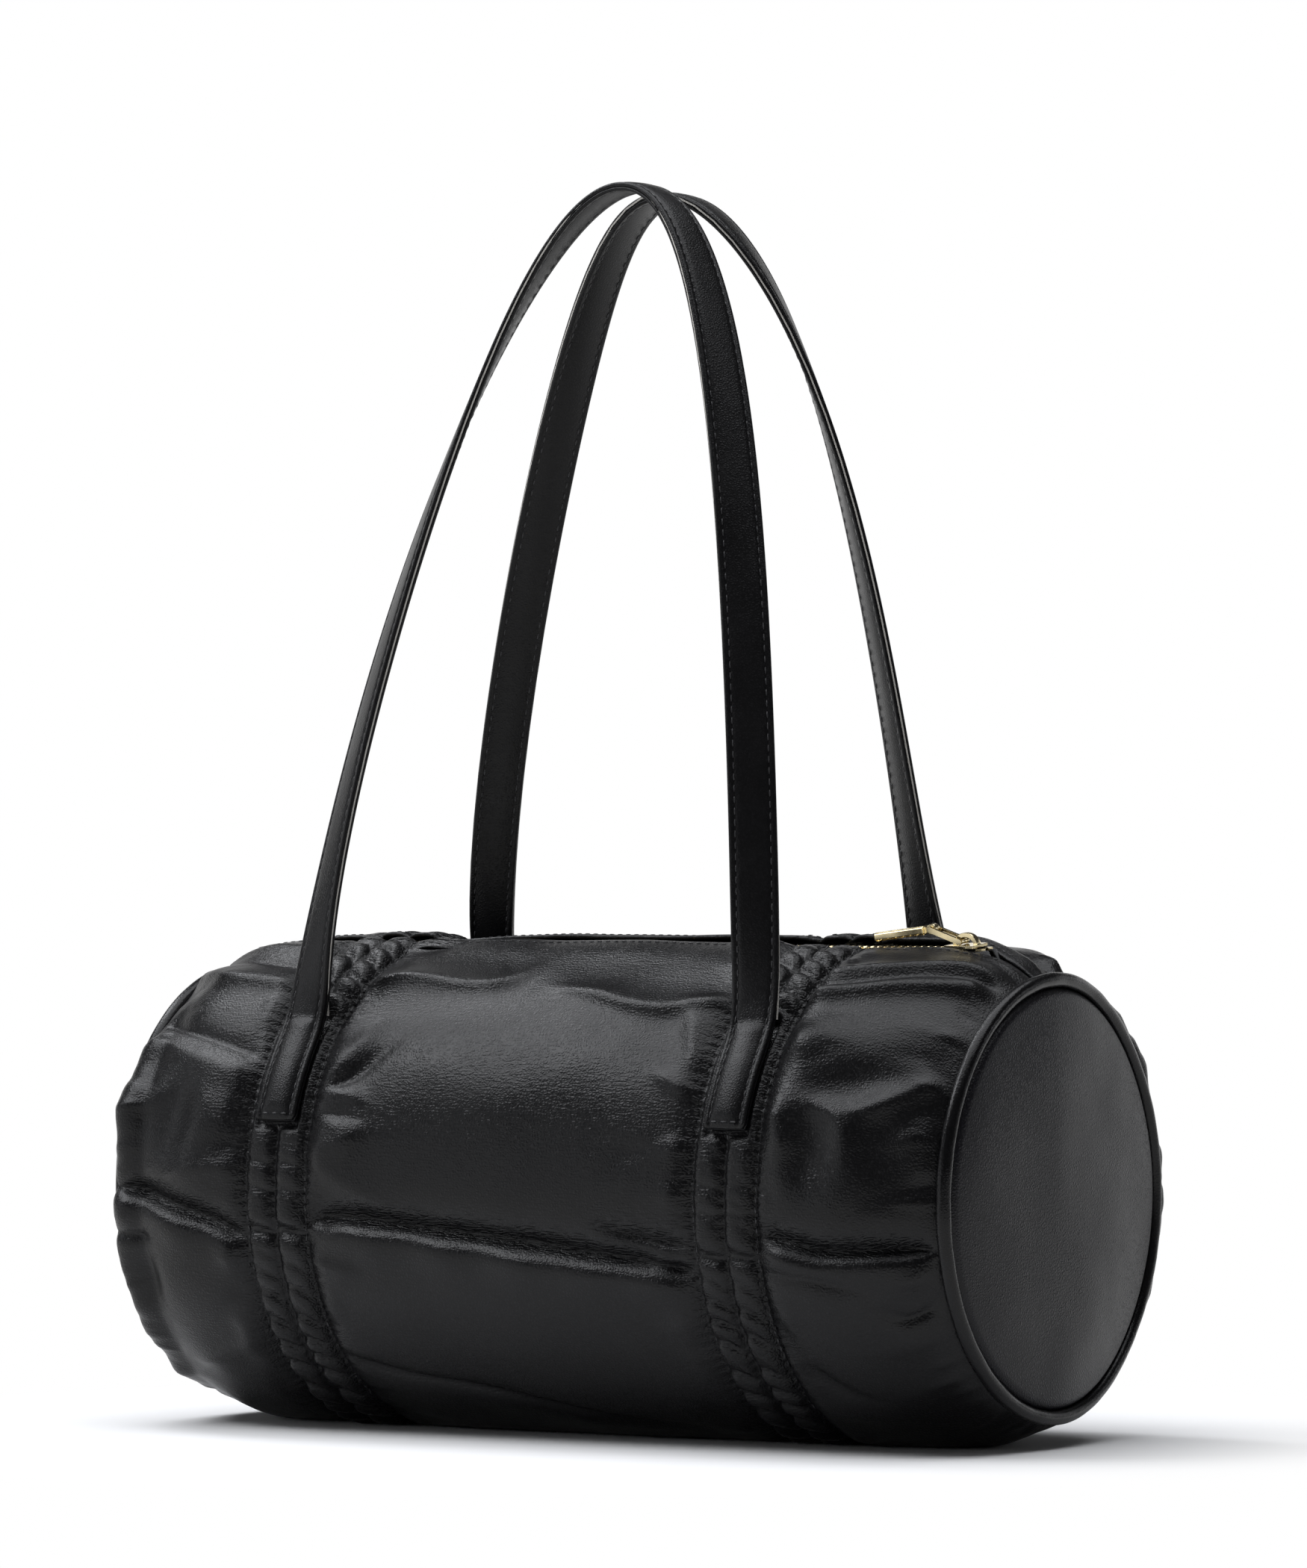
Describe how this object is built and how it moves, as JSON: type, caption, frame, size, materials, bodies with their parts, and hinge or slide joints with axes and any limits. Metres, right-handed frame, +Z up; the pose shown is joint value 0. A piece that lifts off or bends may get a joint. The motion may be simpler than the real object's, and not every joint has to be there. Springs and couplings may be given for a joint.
{
  "type": "shoulder bag",
  "caption": "Barrel-shaped shoulder bag in soft leather, gathered by stitched bands, with round piped ends, a metal zip along the top and long flat straps.",
  "frame": {"origin": "on the floor under the middle of the body", "axes": "+X along the bag to the zip's closed end, -Y to the front, +Z up as the bag stands"},
  "size_m": [0.3314, 0.1683, 0.4105],
  "materials": {
    "body_leather": "semi-gloss, fine grain",
    "end_leather": "satin, fine grain",
    "piping_leather": "semi-gloss",
    "strap_leather": "satin, fine grain",
    "lining": "plain weave",
    "elastic": "ribbed weave",
    "foam": "matt foam",
    "filler": "matt felt",
    "piping_cord": "matt",
    "zip_tape": "woven tape",
    "gold_metal": "polished"
  },
  "bodies": {
    "root": {"main_panel": "body_leather", "left_end_panel": "end_leather", "right_end_panel": "end_leather", "left_piping": "piping_leather", "right_piping": "piping_leather", "left_piping_cord": "piping_cord", "right_piping_cord": "piping_cord", "left_end_stiffener": "foam", "right_end_stiffener": "foam", "lining_tube": "lining", "left_lining_end": "lining", "right_lining_end": "lining", "lining_pocket": "lining", "left_band_elastics": "elastic", "right_band_elastics": "elastic", "zip_tape_front": "zip_tape", "zip_tape_back": "zip_tape", "zip_teeth_front": "gold_metal", "zip_teeth_back": "gold_metal", "zip_top_stops": "gold_metal", "zip_bottom_stop": "gold_metal", "front_strap_end_left": "strap_leather", "front_strap_end_right": "strap_leather", "back_strap_end_left": "strap_leather", "back_strap_end_right": "strap_leather", "front_strap_patches": "filler", "back_strap_patches": "filler"},
    "zip_slider": {"zip_slider": "gold_metal"},
    "zip_link": {"zip_pull_link": "gold_metal"},
    "zip_pull": {"zip_pull_bar": "gold_metal"},
    "front_strap": {"front_strap_face": "strap_leather", "front_strap_core": "filler", "front_strap_back": "strap_leather"},
    "back_strap": {"back_strap_face": "strap_leather", "back_strap_core": "filler", "back_strap_back": "strap_leather"}
  },
  "joints": [
    {"name": "zip_slide", "type": "slide", "parent": "root", "child": "zip_slider", "axis": [-1, 0, 0], "range_m": [0, 0.26], "deforming": ["zip_tape_front", "zip_tape_back", "zip_teeth_front", "zip_teeth_back"]},
    {"name": "link_hinge", "type": "hinge", "parent": "zip_slider", "child": "zip_link", "pos_m": [0.1323, -0.01002, 0.16111], "axis": [0, 0.9925, 0.1219], "range_deg": [0, 110]},
    {"name": "pull_hinge", "type": "hinge", "parent": "zip_link", "child": "zip_pull", "pos_m": [0.12149, -0.0105, 0.16502], "axis": [0, 0.9925, 0.1219], "range_deg": [0, 100]},
    {"name": "front_strap_swing", "type": "hinge", "parent": "root", "child": "front_strap", "pos_m": [0, -0.06267, 0.13633], "axis": [1, 0, 0], "range_deg": [0, 100]},
    {"name": "back_strap_swing", "type": "hinge", "parent": "root", "child": "back_strap", "pos_m": [0, 0.04706, 0.1498], "axis": [-1, 0, 0], "range_deg": [0, 100]}
  ]
}
